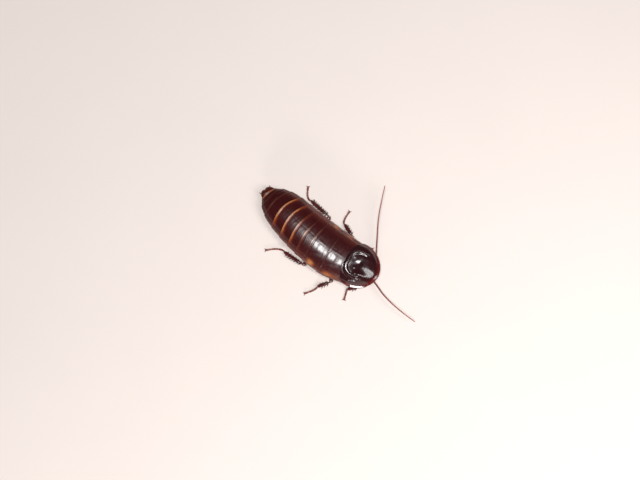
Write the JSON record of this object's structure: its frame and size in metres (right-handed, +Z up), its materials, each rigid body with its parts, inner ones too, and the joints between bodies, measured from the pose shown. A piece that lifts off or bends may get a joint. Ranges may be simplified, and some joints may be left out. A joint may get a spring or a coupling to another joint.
{
  "type": "madagascar hissing cockroach, still life-size model",
  "caption": "Life-size Madagascar hissing cockroach at rest, its body bent slightly to its left and its feelers swept forward and aside.",
  "frame": {"origin": "middle of the model's bounding box, at floor level under the feet", "axes": "+X the animal's left, +Y toward the tail (the head points to -Y), +Z up over the back"},
  "size_m": [0.0619, 0.0926, 0.0125],
  "materials": {
    "chitin_black": "glossy black-brown shell plate",
    "chitin_brown": "satin dark brown shell plate",
    "chitin_amber": "satin red-brown ringed feeler",
    "leg_maroon": "satin maroon leg",
    "foot_brown": "satin light red-brown foot",
    "eye_dark": "glossy black eye"
  },
  "bodies": {
    "root": {"antenna_left": "chitin_amber", "antenna_right": "chitin_amber", "cercus_left": "chitin_amber", "cercus_right": "chitin_amber", "coxa_front_left": "leg_maroon", "coxa_front_right": "leg_maroon", "coxa_hind_left": "leg_maroon", "coxa_hind_right": "leg_maroon", "coxa_middle_left": "leg_maroon", "coxa_middle_right": "leg_maroon", "eye_left": "eye_dark", "eye_right": "eye_dark", "femur_front_left": "leg_maroon", "femur_front_right": "leg_maroon", "femur_hind_left": "leg_maroon", "femur_hind_right": "leg_maroon", "femur_middle_left": "leg_maroon", "femur_middle_right": "leg_maroon", "head": "chitin_black", "mesonotum": "chitin_black", "mesosternum": "chitin_brown", "metanotum": "chitin_black", "metasternum": "chitin_brown", "palp_left": "foot_brown", "palp_right": "foot_brown", "pronotum": "chitin_black", "prosternum": "chitin_brown", "sternite_2": "chitin_brown", "sternite_3": "chitin_brown", "sternite_4": "chitin_brown", "sternite_5": "chitin_brown", "sternite_6": "chitin_brown", "sternite_7": "chitin_brown", "supra_anal_plate": "chitin_brown", "tarsus_front_left": "foot_brown", "tarsus_front_right": "foot_brown", "tarsus_hind_left": "foot_brown", "tarsus_hind_right": "foot_brown", "tarsus_middle_left": "foot_brown", "tarsus_middle_right": "foot_brown", "tergite_1": "chitin_black", "tergite_2": "chitin_black", "tergite_3": "chitin_black", "tergite_4": "chitin_black", "tergite_5": "chitin_black", "tergite_6": "chitin_black", "tergite_7": "chitin_black", "tibia_front_left": "leg_maroon", "tibia_front_right": "leg_maroon", "tibia_hind_left": "leg_maroon", "tibia_hind_right": "leg_maroon", "tibia_middle_left": "leg_maroon", "tibia_middle_right": "leg_maroon"}
  },
  "joints": []
}
